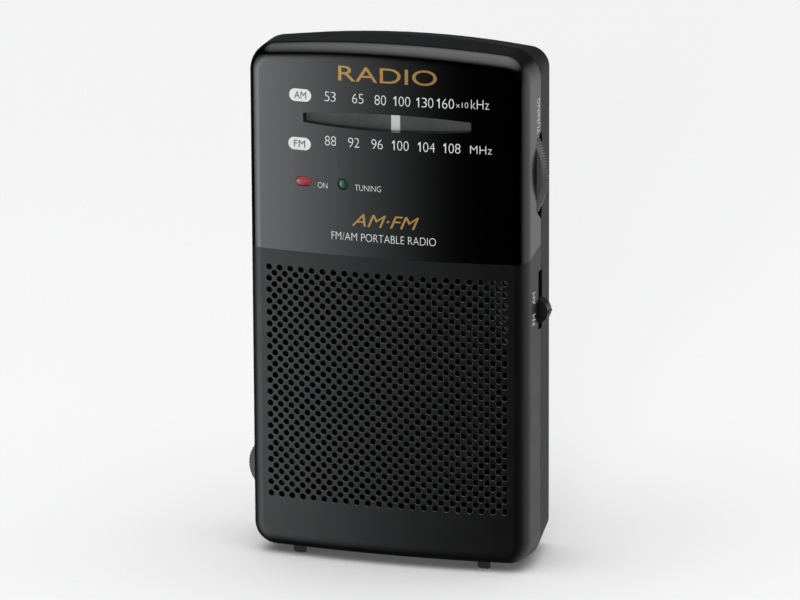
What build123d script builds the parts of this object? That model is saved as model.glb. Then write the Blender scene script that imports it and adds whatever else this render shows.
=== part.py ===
"""A pocket AM/FM radio: two-tone case, slide-rule dial, thumbwheels, switch, loudspeaker and rod antenna.

Millimetres. +Z is up, -Y is the front. x = 0 is the middle of the case, z = 0 is the ground under the feet,
and y = 0 is the middle of the case's depth. Most places are given as a depth behind the middle of the face.
"""

from build123d import *
from math import acos, atan2, cos, hypot, pi, radians, sin, sqrt
import os

os.makedirs("parts", exist_ok=True)

# ---- Driving dimensions ----
WIDTH = 65.3  # across the parting line, the widest place
HEIGHT = 118.5  # feet to the top of the crown
DEPTH = 28.7
FOOT_HEIGHT = 1.3
WALL = 2.0
FRONT_DEPTH = 11.8  # face to parting line
FRONT_DRAFT = 3.0  # degrees that the front half narrows towards the face
REAR_DRAFT = 9.5  # degrees that the rear half narrows towards the back
TOP_ARC_RADIUS = 222.0  # the top is bowed from side to side
FACE_RADIUS = 184.0  # and so is the face
TOP_CORNER = 7.0
BOTTOM_CORNER = 5.5
FRONT_EDGE = 3.6
REAR_EDGE = 3.2
FEET_X = 21.6
FEET_FRONT = 5.0
FEET_BACK = 21.5
BOSS_RADIUS = 2.3
PILOT_RADIUS = 1.05
FRONT_Y = -DEPTH / 2
PARTING_Y = FRONT_Y + FRONT_DEPTH

FASCIA_LINE = 70.4  # height of the joint between the glossy fascia and the matt case on the face
FASCIA_SIDE_LINE = 73.4  # the same joint where it reaches the parting line
FASCIA_BEND_DEPTH = 3.0  # where it starts to climb along the side
LAP_HEIGHT = 2.0
LAP_GAP = 0.05

HOLE_PITCH = 2.6
HOLE_RADIUS = 0.75
GRILLE_CENTRE_Z = 40.2
GRILLE_COLUMNS = 22
GRILLE_ROWS = 21
GRILLE_HALF_WIDTH = 28.9
GRILLE_HALF_HEIGHT = 27.6

DIAL_Z = 100.8
DIAL_LEFT = -18.6
DIAL_RIGHT = 20.0
DIAL_HALF_MIDDLE = 1.95
DIAL_HALF_END = 1.05
LENS_FRONT = 0.8
LENS_BACK = 1.8
POINTER_X = 2.1
POINTER_FRONT = 3.0
POINTER_THICK = 0.4
PLATE_FRONT = 3.55
PLATE_BACK = 4.35
EAR_BACK = 5.8
PLATE_TOP = 105.6

WHEEL_X = 18.6
WHEEL_Z = 89.1
WHEEL_RADIUS = 16.0
WHEEL_TEETH = 160
WHEEL_TOOTH = 0.22
WHEEL_FRONT = 9.6
WHEEL_BACK = 13.0
CORD_DEPTH = 8.5
CORD_RADIUS = 0.25
DRUM_RADIUS = 9.87  # to the middle of the cord: half a turn moves the pointer 31 mm
PULLEY_RADIUS = 2.1  # to the middle of the cord
PULLEY_FLANGE = 2.4
PULLEY_LEFT_X = -19.5
PULLEY_RIGHT_X = 27.2
PULLEY_Z = 104.2
PIN_RADIUS = 1.0
RUNNING = 0.05  # radial clearance of everything that turns on a shaft
CORD_RUN_Z = PULLEY_Z + PULLEY_RADIUS

RED_LED = (-18.6, 86.4)
GREEN_LED = (-9.2, 86.5)

VOLUME_X = -28.1
VOLUME_Z = 18.8
VOLUME_RADIUS = 7.0
VOLUME_FRONT = 9.2
VOLUME_BACK = 12.2

SWITCH_Z = 58.2
SWITCH_KNOB_RADIUS = 2.85
SWITCH_KNOB_X = 31.75
SWITCH_SLOT_LOW = 54.2
SWITCH_SLOT_HIGH = 67.4

BOARD_FRONT = 14.6
BOARD_BACK = 16.0
BOARD_LEFT = -29.0
BOARD_RIGHT = 29.0
BOARD_TOP = 102.0
BOARD_SCREWS = [(-14.0, 98.0), (3.5, 98.0), (-14.0, 69.5), (11.0, 70.0)]
CANS = [(-4.0, 88.0), (4.6, 80.0), (-4.0, 72.5)]
CAN_SIDE = 7.0
CAN_HEIGHT = 8.0
# x, z, radius and height of each round capacitor
CAPACITORS = [
    (-14.0, 84.0, 3.1, 7.0),
    (-23.0, 40.0, 3.1, 4.6),
    (-23.0, 32.0, 2.5, 4.6),
    (22.0, 72.5, 2.5, 7.0),
]
ROD_DEPTH = 16.8
ROD_Z = 107.6
ROD_RADIUS = 3.8
ROD_HALF_LENGTH = 21.0
COIL_RADIUS = 4.5
HOLDER_LEFT_X = -17.5
HOLDER_RIGHT_X = 7.5
CASE_SCREWS = [(-25.2, 109.4), (25.2, 109.4), (-25.2, 8.9), (25.2, 8.9)]

SPEAKER_RADIUS = 25.0
SPEAKER_FRONT = 3.9
CLIP_PLACES = [(-7.0, 69.55, -1), (7.0, 69.55, -1), (-7.0, 10.85, 1), (7.0, 10.85, 1)]

CELL_RADIUS = 7.1
CELL_DEPTH = 19.75
CELL_X = 7.6
CELL_BODY = 49.2
NUB_HEIGHT = 1.3
CONTACT_SPACE = 2.5  # left for the spring at a cell's flat end
CONTACT_THICK = 0.4
TRAY_HALF_WIDTH = 15.3
TRAY_LOW = 6.0
TRAY_HIGH = TRAY_LOW + 2 * CONTACT_THICK + CONTACT_SPACE + CELL_BODY + NUB_HEIGHT
TRAY_FRONT = 12.4
TRAY_WALL = 1.2
DOOR_HALF_WIDTH = 17.3
DOOR_TOP = 62.6
DOOR_THICK = 1.1

JACK_Z = 80.0
JACK_DEPTH = 8.8
JACK_BORE = 1.8

ANTENNA_X = -24.0
ANTENNA_DEPTH = 25.4
ANTENNA_PIVOT_Z = 99.0
ANTENNA_TUBES = [(2.3, 1.95), (1.85, 1.5), (1.4, 1.05), (0.95, 0.0)]
ANTENNA_LOW = 42.0
TROUGH_LOW = 39.0
TROUGH_HIGH = ANTENNA_PIVOT_Z + 7.4


# ---- Placing ----
def y_of(depth):
    """The y of a place given by its depth behind the middle of the face."""
    return FRONT_Y + depth


def block(x_low, x_high, front, back, z_low, z_high):
    """A box between two sides, two depths and two heights."""
    centre = Pos((x_low + x_high) / 2, y_of((front + back) / 2), (z_low + z_high) / 2)
    return centre * Box(x_high - x_low, back - front, z_high - z_low)


def rod_y(x, z, radius, front, back):
    """A cylinder that runs from front to back."""
    return Pos(x, y_of((front + back) / 2), z) * Rot(90, 0, 0) * Cylinder(radius, back - front)


def rod_x(x_low, x_high, depth, z, radius):
    """A cylinder that runs from side to side."""
    return Pos((x_low + x_high) / 2, y_of(depth), z) * Rot(0, 90, 0) * Cylinder(radius, x_high - x_low)


def rod_z(x, depth, z_low, z_high, radius):
    """An upright cylinder."""
    return Pos(x, y_of(depth), (z_low + z_high) / 2) * Cylinder(radius, z_high - z_low)


def prism_y(sketch, front, back):
    """A sketch drawn in x and z, carried from one depth to another."""
    return extrude(Plane.XZ.offset(-y_of(back)) * sketch, amount=back - front)


def side_prism(points, x_low, x_high):
    """An outline in depth and height, carried from one side to another."""
    outline = [(y_of(depth), z) for depth, z in points]
    return extrude(Plane.YZ.offset(x_low) * make_face(Polyline(*outline, close=True)), amount=x_high - x_low)


def save(name, *solids):
    """Writes a node of one solid, or of several separate ones."""
    shape = solids[0] if len(solids) == 1 else Compound(children=[Part() + s for s in solids])
    export_step(shape, f"parts/{name}.step")


# ---- The case ----
def outline(inset):
    """The case seen from the front at the parting line, smaller by inset all round."""
    half = WIDTH / 2 - inset
    low = FOOT_HEIGHT + inset
    top = HEIGHT - inset
    shoulder = top - (TOP_ARC_RADIUS - sqrt(TOP_ARC_RADIUS**2 - half**2))
    edges = [
        Line((-half, low), (half, low)),
        Line((half, low), (half, shoulder)),
        ThreePointArc((half, shoulder), (0, top), (-half, shoulder)),
        Line((-half, shoulder), (-half, low)),
    ]
    face = make_face(edges)
    by_height = face.vertices().sort_by(Axis.Y)
    face = fillet(by_height[:2], BOTTOM_CORNER - inset)
    upper = face.vertices().filter_by(lambda v: v.Y > shoulder - 1e-6)
    return fillet(upper, TOP_CORNER - inset)


def front_half(inset):
    """Everything inside the front half's surface, or inside a surface inset behind it."""
    blank = extrude(Plane.XZ.offset(-PARTING_Y) * outline(inset), amount=FRONT_DEPTH + 4, taper=FRONT_DRAFT)
    bow = Pos(0, FRONT_Y + FACE_RADIUS, HEIGHT / 2) * Cylinder(FACE_RADIUS - inset, 2 * HEIGHT)
    half = blank & bow
    face = half.faces().sort_by(Axis.Y)[0]
    return fillet(face.outer_wire().edges(), max(FRONT_EDGE - inset, 0.5))


def rear_half(inset):
    """The same for the rear half."""
    plane = Plane(origin=(0, PARTING_Y, 0), x_dir=(-1, 0, 0), z_dir=(0, 1, 0))
    half = extrude(plane * outline(inset), amount=DEPTH - FRONT_DEPTH - inset, taper=REAR_DRAFT)
    back = half.faces().sort_by(Axis.Y)[-1]
    return fillet(back.outer_wire().edges(), REAR_EDGE - inset)


def below_joint(lift):
    """The space below the fascia's joint, or below a line parallel to it, lift higher."""
    points = [
        (-5, -5),
        (-5, FASCIA_LINE + lift),
        (FASCIA_BEND_DEPTH, FASCIA_LINE + lift),
        (FRONT_DEPTH, FASCIA_SIDE_LINE + lift),
        (FRONT_DEPTH, -5),
    ]
    return side_prism(points, -WIDTH, WIDTH)


def grille_window():
    """The part of the face that carries the sound holes."""
    low = GRILLE_CENTRE_Z - GRILLE_HALF_HEIGHT
    high = GRILLE_CENTRE_Z + GRILLE_HALF_HEIGHT
    return block(-GRILLE_HALF_WIDTH, GRILLE_HALF_WIDTH, -2, FRONT_DEPTH - 4, low, high)


def foot(x, front, back):
    """One rib of the feet, under the case at x."""
    rib = block(x - 1.5, x + 1.5, front, back, 0, 4.5)
    low_edges = rib.edges().filter_by(Axis.Y).sort_by(Axis.Z)[:2]
    return fillet(low_edges, 0.7)


def boss(x, z, radius, pilot, front, back):
    """A screw pillar with its pilot hole."""
    return rod_y(x, z, radius, front, back) - rod_y(x, z, pilot, front - 1, back + 1)


def wheel_notch():
    """The six-sided opening that the tuning wheel shows through, in both halves of the case."""
    points = [(8.9, 81.2), (8.9, 96.6), (12.1, 98.9), (14.1, 96.6), (14.1, 81.2), (12.1, 78.7)]
    notch = side_prism(points, WIDTH / 2 - 9, WIDTH)
    return notch + rod_y(WHEEL_X, WHEEL_Z, WHEEL_RADIUS + 0.25, WHEEL_FRONT - 0.3, WHEEL_BACK + 0.3)


def switch_slot():
    """The opening of the band switch."""
    return block(WIDTH / 2 - 6, WIDTH, 10.2, 14.0, SWITCH_SLOT_LOW, SWITCH_SLOT_HIGH)


def volume_notch():
    """The opening of the volume wheel."""
    half = 6.6
    points = [
        (8.7, VOLUME_Z - half + 1),
        (8.7, VOLUME_Z + half - 1),
        (9.7, VOLUME_Z + half),
        (11.9, VOLUME_Z + half),
        (12.9, VOLUME_Z + half - 1),
        (12.9, VOLUME_Z - half + 1),
        (11.9, VOLUME_Z - half),
        (9.7, VOLUME_Z - half),
    ]
    notch = side_prism(points, -WIDTH, -WIDTH / 2 + 6)
    return notch + rod_y(VOLUME_X, VOLUME_Z, VOLUME_RADIUS + 0.3, VOLUME_FRONT - 0.3, VOLUME_BACK + 0.3)


def dial_opening(grow, front, back):
    """The lens-shaped opening of the dial, larger by grow all round."""
    left = DIAL_LEFT - grow
    right = DIAL_RIGHT + grow
    middle = (left + right) / 2
    end = DIAL_HALF_END + grow
    bulge = DIAL_HALF_MIDDLE + grow
    edges = [
        Line((left, DIAL_Z - end), (left, DIAL_Z + end)),
        ThreePointArc((left, DIAL_Z + end), (middle, DIAL_Z + bulge), (right, DIAL_Z + end)),
        Line((right, DIAL_Z + end), (right, DIAL_Z - end)),
        ThreePointArc((right, DIAL_Z - end), (middle, DIAL_Z - bulge), (left, DIAL_Z - end)),
    ]
    face = make_face(edges)
    return prism_y(fillet(face.vertices(), 0.35), front, back)


def oblong(x, z, length, height, front, back):
    """A round-ended bar that runs from front to back."""
    return prism_y(Pos(x, z) * SlotOverall(length, height), front, back)


outer_front = front_half(0)
inner_front = front_half(WALL)
lap_inner = front_half(WALL / 2)
lap_outer = front_half(WALL / 2 + LAP_GAP)
outer_rear = rear_half(0)
inner_rear = rear_half(WALL)
joint = below_joint(0)
lap_zone = below_joint(LAP_HEIGHT) - joint
front_shell = outer_front - inner_front


def front_case():
    """The matt lower front with its lap, screw pillars and speaker posts."""
    case = front_shell & joint
    case += (lap_outer - inner_front) & lap_zone
    case -= grille_window()
    for side in (-1, 1):
        case += foot(side * FEET_X, FEET_FRONT, FRONT_DEPTH) - inner_front
    for x, z in CASE_SCREWS[2:]:
        case += boss(x, z, BOSS_RADIUS, PILOT_RADIUS, 4.0, FRONT_DEPTH) + rod_y(x, z, BOSS_RADIUS, 2.5, 4.0)
    for x, z, _ in CLIP_PLACES:
        case += rod_y(x, z, 1.7, 1.5, 4.8) - rod_y(x, z, 0.65, 2.6, 5)
    return case - switch_slot() - volume_notch()


def sound_holes():
    """Two square grids of holes, the second in the middles of the first."""
    pitch = HOLE_PITCH
    centre = (0, GRILLE_CENTRE_Z)
    main = Pos(*centre) * GridLocations(pitch, pitch, GRILLE_COLUMNS, GRILLE_ROWS)
    between = Pos(*centre) * GridLocations(pitch, pitch, GRILLE_COLUMNS - 1, GRILLE_ROWS - 1)
    places = list(main) + list(between)
    holes = Sketch() + [place * Circle(HOLE_RADIUS) for place in places]
    return prism_y(holes, -1, FRONT_DEPTH - 4)


def speaker_grille():
    """The field of sound holes, which fills its window in the front case."""
    return (front_shell & grille_window()) - sound_holes()


def dial_fascia():
    """The glossy upper front, with the openings of the dial, the lamps, the wheel and the earphone socket."""
    fascia = front_shell - joint
    fascia -= (lap_inner - inner_front) & below_joint(LAP_HEIGHT + LAP_GAP)
    fascia -= dial_opening(0, -1, 6)
    fascia -= oblong(*RED_LED, 3.8, 2.2, -1, 6)
    fascia -= rod_y(*GREEN_LED, 1.3, -1, 6)
    for x, z in CASE_SCREWS[:2]:
        fascia += boss(x, z, BOSS_RADIUS, PILOT_RADIUS, 4.0, FRONT_DEPTH) + rod_y(x, z, BOSS_RADIUS, 2.5, 4.0)
    for x in (-21.0, 22.6):
        fascia += rod_y(x, 98.4, 1.1, 2.0, PLATE_FRONT)
    fascia -= rod_x(-WIDTH, -25, JACK_DEPTH, JACK_Z, 2.9)
    return fascia - wheel_notch()


def rear_skin(inset):
    """The outer part of the rear shell, down to inset under its surface."""
    return outer_rear - rear_half(inset)


def rear_case():
    """The rear half with its battery tray, antenna trough and screw pillars."""
    case = outer_rear - inner_rear
    groove = Plane.XZ.offset(-(PARTING_Y + 0.3)) * (outline(-1) - outline(0.35))
    case -= extrude(groove, amount=0.3)
    for side in (-1, 1):
        case += foot(side * FEET_X, FRONT_DEPTH, FEET_BACK) - inner_rear
    wide = TRAY_HALF_WIDTH + TRAY_WALL
    case += block(-wide, wide, TRAY_FRONT - TRAY_WALL, DEPTH - 1.5, TRAY_LOW - 1.0, TRAY_HIGH + TRAY_WALL)
    case -= block(-TRAY_HALF_WIDTH, TRAY_HALF_WIDTH, TRAY_FRONT, DEPTH + 1, TRAY_LOW, TRAY_HIGH)
    door_room = block(-DOOR_HALF_WIDTH - 0.1, DOOR_HALF_WIDTH + 0.1, 20, DEPTH + 1, -1, DOOR_TOP + 0.1)
    case -= rear_skin(DOOR_THICK + 0.1) & door_room
    for x, z in CASE_SCREWS:
        case += rod_y(x, z, BOSS_RADIUS + 0.8, FRONT_DEPTH, DEPTH - 1) & rear_half(WALL / 2)
        case -= rod_y(x, z, 1.25, FRONT_DEPTH - 1, DEPTH + 1)
        case -= rod_y(x, z, 1.9, 17.0, DEPTH + 1)
    left = ANTENNA_X - 4.2
    right = ANTENNA_X + 4.2
    trough_wall = block(left, right, 21.2, DEPTH - 1.5, TROUGH_LOW - 1.2, TROUGH_HIGH + 1.2)
    case += trough_wall & rear_half(WALL / 2)
    case -= block(ANTENNA_X - 3.0, ANTENNA_X + 3.0, 22.4, DEPTH + 1, TROUGH_LOW, TROUGH_HIGH)
    for x, z in BOARD_SCREWS:
        case += rod_y(x, z, 2.4, BOARD_BACK, DEPTH - 1) - rod_y(x, z, PILOT_RADIUS, BOARD_BACK - 1, 24)
    return case - wheel_notch() - switch_slot() - volume_notch()


def battery_door():
    """The cover of the battery tray: a piece of the rear shell that slides off downwards."""
    room = block(-DOOR_HALF_WIDTH, DOOR_HALF_WIDTH, 20.1, DEPTH + 1, -1, DOOR_TOP)
    door = rear_skin(DOOR_THICK) & room
    for rib in range(4):
        z = 56.0 + 1.8 * rib
        door -= rod_x(-6, 6, DEPTH + 0.25, z, 0.5)
    return door


save("front_case", front_case())
save("speaker_grille", speaker_grille())
save("dial_fascia", dial_fascia())
save("rear_case", rear_case())
save("battery_door", battery_door())


# ---- The dial ----
def dial_lens():
    """The clear window in the dial's opening."""
    return (front_half(LENS_FRONT) - front_half(LENS_BACK)) & dial_opening(-0.04, -1, 6)


def dial_plate():
    """The dark plate behind the pointer, with an ear set back behind the bowed face for the right pulley."""
    plate = block(-22.8, 23.2, PLATE_FRONT, PLATE_BACK, 97.0, PLATE_TOP)
    plate += block(22.2, 23.2, PLATE_FRONT, EAR_BACK, 97.0, PLATE_TOP)
    return plate + block(22.2, 29.3, EAR_BACK - 0.8, EAR_BACK, 100.0, PLATE_TOP)


def dial_pointer():
    """The blade in front of the plate, its bridge over the top, and the tab that the cord pulls."""
    half = 1.02
    low_x = POINTER_X - half
    high_x = POINTER_X + half
    blade = block(low_x, high_x, POINTER_FRONT, POINTER_FRONT + POINTER_THICK, 98.2, CORD_RUN_Z + 0.8)
    bridge = block(low_x, high_x, POINTER_FRONT, CORD_DEPTH + 0.9, CORD_RUN_Z - 0.55, CORD_RUN_Z + 0.8)
    cord_way = rod_x(low_x - 1, high_x + 1, CORD_DEPTH, CORD_RUN_Z, CORD_RADIUS + 0.05)
    return blade + bridge - cord_way


def pulley_pin(x, base):
    """A headed pin that stands on the dial plate, or on its ear."""
    return rod_y(x, PULLEY_Z, PIN_RADIUS, base, 9.55) + rod_y(x, PULLEY_Z, 1.3, 9.45, 9.8)


def pulley(x):
    """A grooved idler."""
    radius = PULLEY_RADIUS - CORD_RADIUS - 0.03
    body = rod_y(x, PULLEY_Z, radius, CORD_DEPTH - 0.8, CORD_DEPTH + 0.8)
    for side in (-1, 1):
        middle = CORD_DEPTH + side * 0.6
        body += rod_y(x, PULLEY_Z, PULLEY_FLANGE, middle - 0.2, middle + 0.2)
    return body - rod_y(x, PULLEY_Z, PIN_RADIUS + RUNNING, CORD_DEPTH - 2, CORD_DEPTH + 2)


def tangent_points(left, right):
    """Where the straight run over two circles, each (x, z, radius), leaves the first and meets the second.

    The run passes on the left of the way from the first to the second.
    """
    dx = right[0] - left[0]
    dz = right[1] - left[1]
    way = atan2(dz, dx)
    lean = acos((left[2] - right[2]) / hypot(dx, dz))
    angle = way + lean
    return [(x + r * cos(angle), z + r * sin(angle)) for x, z, r in (left, right)]


def dial_cord():
    """The closed cord round the drum and over both pulleys."""
    circles = [
        (PULLEY_LEFT_X, PULLEY_Z, PULLEY_RADIUS),
        (PULLEY_RIGHT_X, PULLEY_Z, PULLEY_RADIUS),
        (WHEEL_X, WHEEL_Z, DRUM_RADIUS),
    ]
    runs = [tangent_points(circles[i], circles[(i + 1) % 3]) for i in range(3)]
    edges = []
    for i, (start, end) in enumerate(runs):
        x, z, radius = circles[(i + 1) % 3]
        leave = runs[(i + 1) % 3][0]
        first = atan2(end[1] - z, end[0] - x)
        last = atan2(leave[1] - z, leave[0] - x)
        if last > first:
            last -= 2 * pi
        middle = (first + last) / 2
        edges.append(Line(start, end))
        edges.append(ThreePointArc(end, (x + radius * cos(middle), z + radius * sin(middle)), leave))
    path = Plane.XZ.offset(-y_of(CORD_DEPTH)) * Wire(edges)
    start = path @ 0
    section = Plane(origin=start, z_dir=path % 0) * Circle(CORD_RADIUS)
    return sweep(section, path=path)


# ---- Tuning ----
def toothed_disc(x, z, radius, teeth, tooth, front, back):
    """A disc with a finely ribbed rim."""
    points = []
    for i in range(2 * teeth):
        angle = pi * i / teeth
        reach = radius if i % 2 == 0 else radius - tooth
        points.append((x + reach * cos(angle), z + reach * sin(angle)))
    return prism_y(make_face(Polyline(*points, close=True)), front, back)


def tuning_wheel():
    """The ribbed thumbwheel, dished on both faces, with a hub on the capacitor's shaft."""
    wheel = toothed_disc(WHEEL_X, WHEEL_Z, WHEEL_RADIUS, WHEEL_TEETH, WHEEL_TOOTH, WHEEL_FRONT, WHEEL_BACK)
    for front, back in ((WHEEL_FRONT - 1, WHEEL_FRONT + 0.7), (WHEEL_BACK - 0.7, WHEEL_BACK + 1)):
        dish = rod_y(WHEEL_X, WHEEL_Z, WHEEL_RADIUS - 2.2, front, back)
        wheel -= dish - rod_y(WHEEL_X, WHEEL_Z, 5.0, front - 1, back + 1)
    return wheel - rod_y(WHEEL_X, WHEEL_Z, 3.0, 0, 20)


def dial_drum():
    """The grooved drum in front of the wheel, which winds the dial cord."""
    radius = DRUM_RADIUS - CORD_RADIUS - 0.03
    drum = rod_y(WHEEL_X, WHEEL_Z, radius, 7.5, WHEEL_FRONT)
    for front, back in ((7.5, 7.9), (9.1, WHEEL_FRONT)):
        drum += rod_y(WHEEL_X, WHEEL_Z, DRUM_RADIUS + 0.9, front, back)
    drum -= rod_y(WHEEL_X, WHEEL_Z, 6.4, 7, 9.0)
    return drum - rod_y(WHEEL_X, WHEEL_Z, 3.0, 0, 20)


def screw(x, z, head_radius, shank_radius, front, back, head, pointing=1):
    """A cross-head screw from front to back: pointing 1 puts its head at the front, -1 at the back."""
    if pointing > 0:
        top = rod_y(x, z, head_radius, front, front + head)
        shank = rod_y(x, z, shank_radius, front + head - 0.1, back)
        cross_at = (front - 0.1, front + head * 0.6)
    else:
        top = rod_y(x, z, head_radius, back - head, back)
        shank = rod_y(x, z, shank_radius, front, back - head + 0.1)
        cross_at = (back - head * 0.6, back + 0.1)
    reach = head_radius * 0.62
    bar = head_radius * 0.13
    cross = block(x - reach, x + reach, *cross_at, z - bar, z + bar)
    cross += block(x - bar, x + bar, *cross_at, z - reach, z + reach)
    return top + shank - cross


def tuning_shaft():
    """The shaft of the tuning capacitor, from its rotor plates to the wheel."""
    return rod_y(WHEEL_X, WHEEL_Z, 3.0, WHEEL_FRONT + 0.7, 17.2) - rod_y(WHEEL_X, WHEEL_Z, 1.1, 9, 14.5)


def tuning_capacitor():
    """The square film capacitor behind the board."""
    body = block(WHEEL_X - 9, WHEEL_X + 9, BOARD_BACK, 25.4, WHEEL_Z - 9, WHEEL_Z + 9)
    body = fillet(body.edges().filter_by(Axis.Y), 1.2)
    return body - rod_y(WHEEL_X, WHEEL_Z, 3.0 + RUNNING, 10, 17.3)


# ---- Volume ----
def volume_wheel():
    """The small smooth-sided thumbwheel on the left."""
    wheel = toothed_disc(VOLUME_X, VOLUME_Z, VOLUME_RADIUS, 60, 0.12, VOLUME_FRONT, VOLUME_BACK)
    wheel -= rod_y(VOLUME_X, VOLUME_Z, VOLUME_RADIUS - 1.6, VOLUME_FRONT - 1, VOLUME_FRONT + 0.5)
    return wheel - rod_y(VOLUME_X, VOLUME_Z, 1.5, 0, 20)


def volume_shaft():
    """The shaft of the volume control, with its screwed head in the wheel's dish."""
    return rod_y(VOLUME_X, VOLUME_Z, 1.5, VOLUME_FRONT, 15.6)


def volume_control():
    """The switched potentiometer behind the board."""
    body = block(-29.0, -21.4, BOARD_BACK, 20.2, VOLUME_Z - 5, VOLUME_Z + 5)
    body = fillet(body.edges().filter_by(Axis.Y), 0.8)
    body += block(-26.5, -22.0, 20.1, 22.4, VOLUME_Z - 3.6, VOLUME_Z + 3.6)
    return body - rod_y(VOLUME_X, VOLUME_Z, 1.5 + RUNNING, 10, 17)


# ---- Band switch ----
def band_switch_body():
    """The slide switch's housing, open towards the side of the case."""
    housing = block(22.6, 28.6, 9.4, BOARD_FRONT, 50.6, 71.0)
    return housing - block(24.0, 30, 10.4, 13.8, 52.0, 69.6)


def band_switch_knob():
    """The slider with its stem and the half-round thumb piece, which carries a small rib."""
    low = SWITCH_Z - SWITCH_KNOB_RADIUS
    high = SWITCH_Z + SWITCH_KNOB_RADIUS
    slider = block(24.3, 28.3, 10.7, 13.5, low, high)
    stem = block(28.2, SWITCH_KNOB_X, 11.2, 13.0, SWITCH_Z - 2.4, SWITCH_Z + 2.4)
    disc = rod_y(SWITCH_KNOB_X, SWITCH_Z, SWITCH_KNOB_RADIUS, 10.6, 13.6)
    disc -= block(20, SWITCH_KNOB_X - 1.2, 10, 14, low - 1, high + 1)
    rib = rod_y(SWITCH_KNOB_X + SWITCH_KNOB_RADIUS - 0.1, SWITCH_Z, 0.35, 10.9, 13.3)
    return slider + stem + disc + rib


def switch_dust_cover():
    """The grey strip that closes the switch's slot from inside and moves with the knob."""
    strip = block(29.0, 29.6, 9.6, BOARD_FRONT - 0.4, 48.4, 68.6)
    return strip - block(28, 30, 11.2, 13.0, SWITCH_Z - 2.4, SWITCH_Z + 2.4)


# ---- Lamps ----
def power_led():
    """The oblong red lamp on its two leads."""
    x, z = RED_LED
    lamp = oblong(x, z, 3.6, 2.0, 1.15, 6.4) + oblong(x, z, 4.6, 3.0, 3.35, 4.2)
    for side in (-1, 1):
        lamp += rod_y(x + side * 1.0, z, 0.25, 6.2, BOARD_FRONT)
    return lamp


def tuning_led():
    """The round green lamp on its two leads."""
    x, z = GREEN_LED
    lamp = rod_y(x, z, 1.2, 0.75, 6.4) + rod_y(x, z, 1.7, 2.4, 3.4)
    for side in (-1, 1):
        lamp += rod_y(x + side * 0.7, z, 0.25, 6.2, BOARD_FRONT)
    return lamp


# ---- Loudspeaker ----
def turned(points):
    """A body of revolution about the speaker's axis, from an outline in radius and depth."""
    profile = make_face(Polyline(*[(radius, -y_of(depth)) for radius, depth in points], close=True))
    solid = revolve(Plane.XZ * profile, Axis.Z)
    return Pos(0, 0, GRILLE_CENTRE_Z) * Rot(90, 0, 0) * solid


def speaker_frame():
    """The pressed basket: a flat rim, a cone with four windows, and a ring for the magnet."""
    front = SPEAKER_FRONT
    outline_points = [
        (22.3, front),
        (SPEAKER_RADIUS, front),
        (SPEAKER_RADIUS, front + 0.8),
        (22.9, front + 0.8),
        (10.6, 9.2),
        (6.4, 9.2),
        (6.4, 8.5),
        (10.2, 8.5),
        (22.3, front + 0.6),
    ]
    frame = turned(outline_points)
    for quarter in range(4):
        angle = radians(45 + 90 * quarter)
        frame -= rod_y(15.6 * cos(angle), GRILLE_CENTRE_Z + 15.6 * sin(angle), 4.2, 5, 9.5)
    return frame


def speaker_magnet():
    """The magnet and its pole, with the ring gap that the coil moves in."""
    magnet = rod_y(0, GRILLE_CENTRE_Z, 9.4, 9.2, 11.05) + rod_y(0, GRILLE_CENTRE_Z, 5.3, 8.4, 9.3)
    return magnet - turned([(5.3, 9.1), (6.3, 9.1), (6.3, 10.6), (5.3, 10.6)])


def speaker_cone():
    """The paper cone with its rolled edge."""
    return turned([(21.9, 4.2), (21.9, 4.5), (20.2, 4.8), (6.1, 7.75), (6.1, 7.35), (19.8, 4.4), (20.8, 4.0)])


def speaker_dust_cap():
    """The domed cap in the middle of the cone."""
    radius = 5.95
    rise = 1.6
    sphere = (radius**2 + rise**2) / (2 * rise)
    dome = Pos(0, y_of(6.0 + sphere), GRILLE_CENTRE_Z) * Sphere(sphere)
    dome -= Pos(0, y_of(6.0 + sphere), GRILLE_CENTRE_Z) * Sphere(sphere - 0.3)
    return dome & rod_y(0, GRILLE_CENTRE_Z, radius, 5, 6.0 + rise)


def voice_coil():
    """The coil, which joins the cone and hangs in the magnet's gap."""
    return turned([(5.6, 7.8), (6.0, 7.8), (6.0, 10.1), (5.6, 10.1)])


def speaker_clip(x, z, towards):
    """A flat clip from a post over the speaker's rim, with the hole for its screw."""
    far = z + towards * 7.4
    clip = block(x - 2.2, x + 2.2, 4.8, 5.5, min(z - towards * 1.6, far), max(z - towards * 1.6, far))
    return clip - rod_y(x, z, 0.9, 4, 6)


# ---- Board ----
def circuit_board():
    """The board: its upper part, a leg to the band switch and a longer leg to the volume control."""
    board = block(BOARD_LEFT, BOARD_RIGHT, BOARD_FRONT, BOARD_BACK, 65.6, BOARD_TOP)
    board += block(17.2, BOARD_RIGHT, BOARD_FRONT, BOARD_BACK, 48.0, 66.0)
    board += block(BOARD_LEFT, -17.2, BOARD_FRONT, BOARD_BACK, 12.2, 66.0)
    board -= rod_y(WHEEL_X, WHEEL_Z, 3.6, 14, 17)
    board -= rod_y(VOLUME_X, VOLUME_Z, 1.8, 14, 17)
    board -= block(-30, VOLUME_X, 14, 17, VOLUME_Z - 1.8, VOLUME_Z + 1.8)
    for x, z in BOARD_SCREWS:
        board -= rod_y(x, z, 1.4, 14, 17)
    return board


def chip(x, z, length, width, pins):
    """A flat integrated circuit with its row of legs on each side."""
    left = x - length / 2
    body = block(left, left + length, BOARD_FRONT - 2.0, BOARD_FRONT - 0.3, z - width / 2, z + width / 2)
    step = length / pins
    for i in range(pins):
        leg_x = left + step * (i + 0.5)
        for side in (-1, 1):
            low = z + side * (width / 2 + 0.5) - 0.55
            body += block(leg_x - 0.2, leg_x + 0.2, BOARD_FRONT - 1.1, BOARD_FRONT, low, low + 1.1)
    return body


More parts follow.
